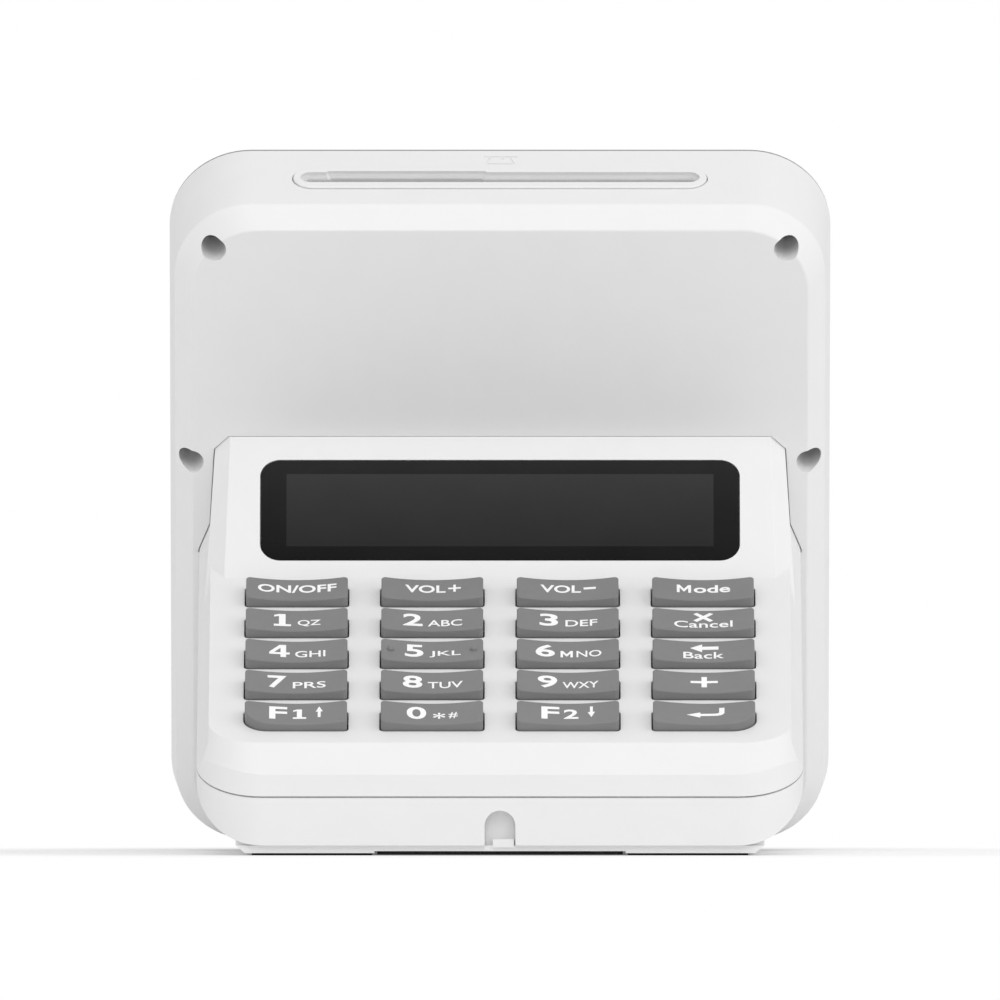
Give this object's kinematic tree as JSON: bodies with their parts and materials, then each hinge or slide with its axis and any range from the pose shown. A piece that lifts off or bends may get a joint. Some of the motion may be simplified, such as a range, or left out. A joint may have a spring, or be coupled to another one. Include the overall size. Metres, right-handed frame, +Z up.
{
  "type": "countertop keypad terminal",
  "caption": "Countertop card terminal: leaning head with a card slot on top and a sloped keypad base with a display and sprung keys.",
  "frame": {"origin": "middle of the overall box at its underside, on the table", "axes": "+X is the operator's right, -Y faces the operator at the keypad, +Z is up"},
  "size_m": [0.1, 0.1258, 0.1062],
  "materials": {
    "white_plastic": "fine moulded satin",
    "key_plastic": "fine moulded matte",
    "grey_plastic": "fine moulded matte",
    "black_glass": "polished",
    "display_glass": "smooth",
    "inner_plastic": "plain moulded",
    "flex_film": "smooth film",
    "silicone": "matte",
    "circuit_board": "solder mask",
    "steel": "plated",
    "battery_wrap": "printed film without text",
    "brass_contact": "plated",
    "light_pipe": "clear moulded",
    "rubber": "matte"
  },
  "bodies": {
    "root": {"main_housing": "white_plastic", "keypad_cover": "white_plastic", "operator_window": "black_glass", "operator_lcd": "display_glass", "lcd_holder": "inner_plastic", "display_flex": "flex_film", "keypad_mat": "silicone", "keypad_pcb": "circuit_board", "dome_contacts": "steel", "keypad_pcb_screws": "steel", "board_link_flex": "flex_film", "battery_pack": "battery_wrap", "main_pcb": "circuit_board", "main_pcb_screws": "steel", "backup_cell": "steel", "speaker": "inner_plastic", "card_slot_bezel": "white_plastic", "card_reader_body": "inner_plastic", "card_reader_contacts": "brass_contact", "customer_bezel": "grey_plastic", "customer_lens": "black_glass", "customer_display": "display_glass", "nfc_antenna": "flex_film", "status_light_pipe": "light_pipe", "head_screws": "steel", "usb_socket": "steel", "bottom_plate": "white_plastic", "bottom_plate_screws": "steel", "cover_screws": "steel", "foot_pad_left": "rubber", "foot_pad_right": "rubber", "foot_pad_centre": "rubber"},
    "key_f1_body": {"key_f1": "key_plastic"},
    "key_0_body": {"key_0": "key_plastic"},
    "key_f2_body": {"key_f2": "key_plastic"},
    "key_enter_body": {"key_enter": "key_plastic"},
    "key_7_body": {"key_7": "key_plastic"},
    "key_8_body": {"key_8": "key_plastic"},
    "key_9_body": {"key_9": "key_plastic"},
    "key_plus_body": {"key_plus": "key_plastic"},
    "key_4_body": {"key_4": "key_plastic"},
    "key_5_body": {"key_5": "key_plastic"},
    "key_6_body": {"key_6": "key_plastic"},
    "key_back_body": {"key_back": "key_plastic"},
    "key_1_body": {"key_1": "key_plastic"},
    "key_2_body": {"key_2": "key_plastic"},
    "key_3_body": {"key_3": "key_plastic"},
    "key_cancel_body": {"key_cancel": "key_plastic"},
    "key_on_off_body": {"key_on_off": "key_plastic"},
    "key_volume_up_body": {"key_volume_up": "key_plastic"},
    "key_volume_down_body": {"key_volume_down": "key_plastic"},
    "key_mode_body": {"key_mode": "key_plastic"}
  },
  "joints": [
    {"name": "key_f1_press", "type": "slide", "parent": "root", "child": "key_f1_body", "axis": [0, 0.4226, -0.9063], "range_m": [0, 0.0008], "stiffness_N_per_m": 1000, "springref_m": -0.0003},
    {"name": "key_0_press", "type": "slide", "parent": "root", "child": "key_0_body", "axis": [0, 0.4226, -0.9063], "range_m": [0, 0.0008], "stiffness_N_per_m": 1000, "springref_m": -0.0003},
    {"name": "key_f2_press", "type": "slide", "parent": "root", "child": "key_f2_body", "axis": [0, 0.4226, -0.9063], "range_m": [0, 0.0008], "stiffness_N_per_m": 1000, "springref_m": -0.0003},
    {"name": "key_enter_press", "type": "slide", "parent": "root", "child": "key_enter_body", "axis": [0, 0.4226, -0.9063], "range_m": [0, 0.0008], "stiffness_N_per_m": 1000, "springref_m": -0.0003},
    {"name": "key_7_press", "type": "slide", "parent": "root", "child": "key_7_body", "axis": [0, 0.4226, -0.9063], "range_m": [0, 0.0008], "stiffness_N_per_m": 1000, "springref_m": -0.0003},
    {"name": "key_8_press", "type": "slide", "parent": "root", "child": "key_8_body", "axis": [0, 0.4226, -0.9063], "range_m": [0, 0.0008], "stiffness_N_per_m": 1000, "springref_m": -0.0003},
    {"name": "key_9_press", "type": "slide", "parent": "root", "child": "key_9_body", "axis": [0, 0.4226, -0.9063], "range_m": [0, 0.0008], "stiffness_N_per_m": 1000, "springref_m": -0.0003},
    {"name": "key_plus_press", "type": "slide", "parent": "root", "child": "key_plus_body", "axis": [0, 0.4226, -0.9063], "range_m": [0, 0.0008], "stiffness_N_per_m": 1000, "springref_m": -0.0003},
    {"name": "key_4_press", "type": "slide", "parent": "root", "child": "key_4_body", "axis": [0, 0.4226, -0.9063], "range_m": [0, 0.0008], "stiffness_N_per_m": 1000, "springref_m": -0.0003},
    {"name": "key_5_press", "type": "slide", "parent": "root", "child": "key_5_body", "axis": [0, 0.4226, -0.9063], "range_m": [0, 0.0008], "stiffness_N_per_m": 1000, "springref_m": -0.0003},
    {"name": "key_6_press", "type": "slide", "parent": "root", "child": "key_6_body", "axis": [0, 0.4226, -0.9063], "range_m": [0, 0.0008], "stiffness_N_per_m": 1000, "springref_m": -0.0003},
    {"name": "key_back_press", "type": "slide", "parent": "root", "child": "key_back_body", "axis": [0, 0.4226, -0.9063], "range_m": [0, 0.0008], "stiffness_N_per_m": 1000, "springref_m": -0.0003},
    {"name": "key_1_press", "type": "slide", "parent": "root", "child": "key_1_body", "axis": [0, 0.4226, -0.9063], "range_m": [0, 0.0008], "stiffness_N_per_m": 1000, "springref_m": -0.0003},
    {"name": "key_2_press", "type": "slide", "parent": "root", "child": "key_2_body", "axis": [0, 0.4226, -0.9063], "range_m": [0, 0.0008], "stiffness_N_per_m": 1000, "springref_m": -0.0003},
    {"name": "key_3_press", "type": "slide", "parent": "root", "child": "key_3_body", "axis": [0, 0.4226, -0.9063], "range_m": [0, 0.0008], "stiffness_N_per_m": 1000, "springref_m": -0.0003},
    {"name": "key_cancel_press", "type": "slide", "parent": "root", "child": "key_cancel_body", "axis": [0, 0.4226, -0.9063], "range_m": [0, 0.0008], "stiffness_N_per_m": 1000, "springref_m": -0.0003},
    {"name": "key_on_off_press", "type": "slide", "parent": "root", "child": "key_on_off_body", "axis": [0, 0.4226, -0.9063], "range_m": [0, 0.0008], "stiffness_N_per_m": 1000, "springref_m": -0.0003},
    {"name": "key_volume_up_press", "type": "slide", "parent": "root", "child": "key_volume_up_body", "axis": [0, 0.4226, -0.9063], "range_m": [0, 0.0008], "stiffness_N_per_m": 1000, "springref_m": -0.0003},
    {"name": "key_volume_down_press", "type": "slide", "parent": "root", "child": "key_volume_down_body", "axis": [0, 0.4226, -0.9063], "range_m": [0, 0.0008], "stiffness_N_per_m": 1000, "springref_m": -0.0003},
    {"name": "key_mode_press", "type": "slide", "parent": "root", "child": "key_mode_body", "axis": [0, 0.4226, -0.9063], "range_m": [0, 0.0008], "stiffness_N_per_m": 1000, "springref_m": -0.0003}
  ]
}
